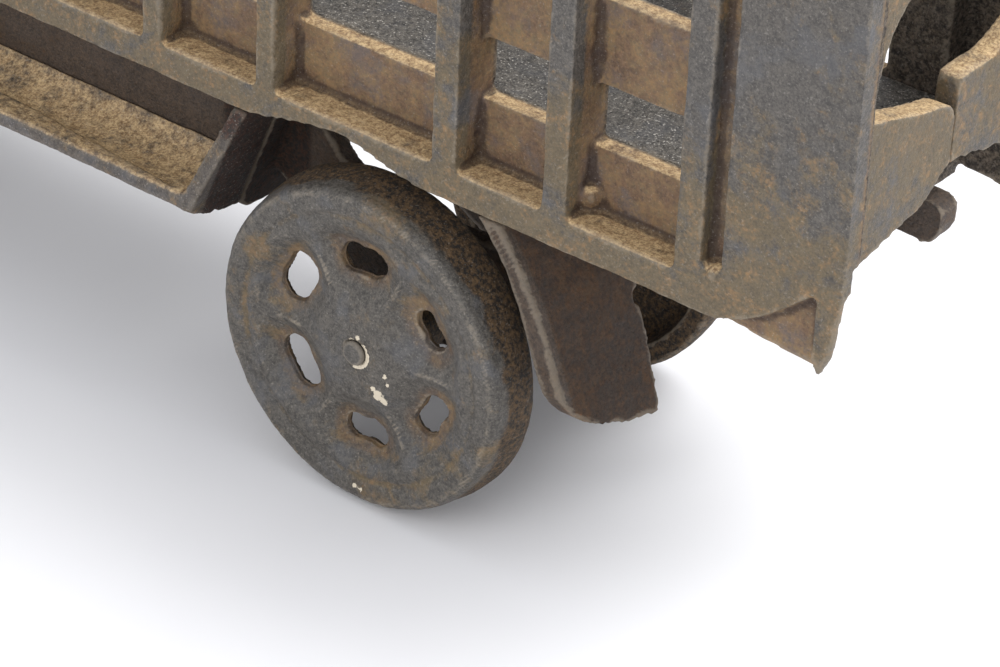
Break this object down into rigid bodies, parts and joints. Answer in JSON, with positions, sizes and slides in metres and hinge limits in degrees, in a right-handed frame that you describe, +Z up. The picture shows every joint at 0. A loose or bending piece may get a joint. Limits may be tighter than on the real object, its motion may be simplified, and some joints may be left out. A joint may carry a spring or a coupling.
{
  "type": "toy stake truck",
  "caption": "Cast-iron toy truck with slatted open bed, cab, hood, running boards and free-rolling disc wheels with slots, in worn dark paint.",
  "frame": {"origin": "on the ground plane, centred under the truck", "axes": "+X towards the tail, +Y towards the far side, +Z up; the wheels turn about Y"},
  "size_m": [0.226, 0.0546, 0.1014],
  "materials": {
    "paint_stake": "worn dark blue-grey enamel with a rust film",
    "paint_cab": "worn dark blue-grey enamel",
    "paint_board": "worn enamel, sandy rust in the dish",
    "paint_under": "brown rusted iron",
    "paint_wheel": "worn black enamel, rust round the slots",
    "cast_floor": "rough as-cast, dark",
    "grille_metal": "dull bare metal",
    "pin_steel": "peened, dull"
  },
  "bodies": {
    "truck": {"bed_side_near": "paint_stake", "bed_side_far": "paint_stake", "bed_floor": "cast_floor", "bed_headboard": "paint_stake", "tail_lug": "paint_under", "underframe_near": "paint_under", "underframe_far": "paint_under", "chassis_plate": "paint_under", "fender_board_near": "paint_board", "fender_board_far": "paint_board", "cab_near": "paint_cab", "cab_far": "paint_cab", "hood_near": "paint_cab", "hood_far": "paint_cab", "radiator": "grille_metal", "headlamps": "grille_metal", "front_bumper": "grille_metal", "cross_pins": "pin_steel"},
    "axle_front": {"axle_front": "pin_steel"},
    "wheel_front_near": {"wheel_front_near": "paint_wheel"},
    "wheel_front_far": {"wheel_front_far": "paint_wheel"},
    "axle_rear": {"axle_rear": "pin_steel"},
    "wheel_rear_near": {"wheel_rear_near": "paint_wheel"},
    "wheel_rear_far": {"wheel_rear_far": "paint_wheel"}
  },
  "joints": [
    {"name": "axle_front_spin", "type": "hinge", "parent": "truck", "child": "axle_front", "pos_m": [-0.077, 0, 0.022], "axis": [0, 1, 0], "continuous": true},
    {"name": "wheel_front_near_spin", "type": "hinge", "parent": "axle_front", "child": "wheel_front_near", "pos_m": [-0.077, -0.024, 0.022], "axis": [0, 1, 0], "continuous": true},
    {"name": "wheel_front_far_spin", "type": "hinge", "parent": "axle_front", "child": "wheel_front_far", "pos_m": [-0.077, 0.024, 0.022], "axis": [0, 1, 0], "continuous": true},
    {"name": "axle_rear_spin", "type": "hinge", "parent": "truck", "child": "axle_rear", "pos_m": [0.047, 0, 0.022], "axis": [0, 1, 0], "continuous": true},
    {"name": "wheel_rear_near_spin", "type": "hinge", "parent": "axle_rear", "child": "wheel_rear_near", "pos_m": [0.047, -0.024, 0.022], "axis": [0, 1, 0], "continuous": true},
    {"name": "wheel_rear_far_spin", "type": "hinge", "parent": "axle_rear", "child": "wheel_rear_far", "pos_m": [0.047, 0.024, 0.022], "axis": [0, 1, 0], "continuous": true}
  ]
}
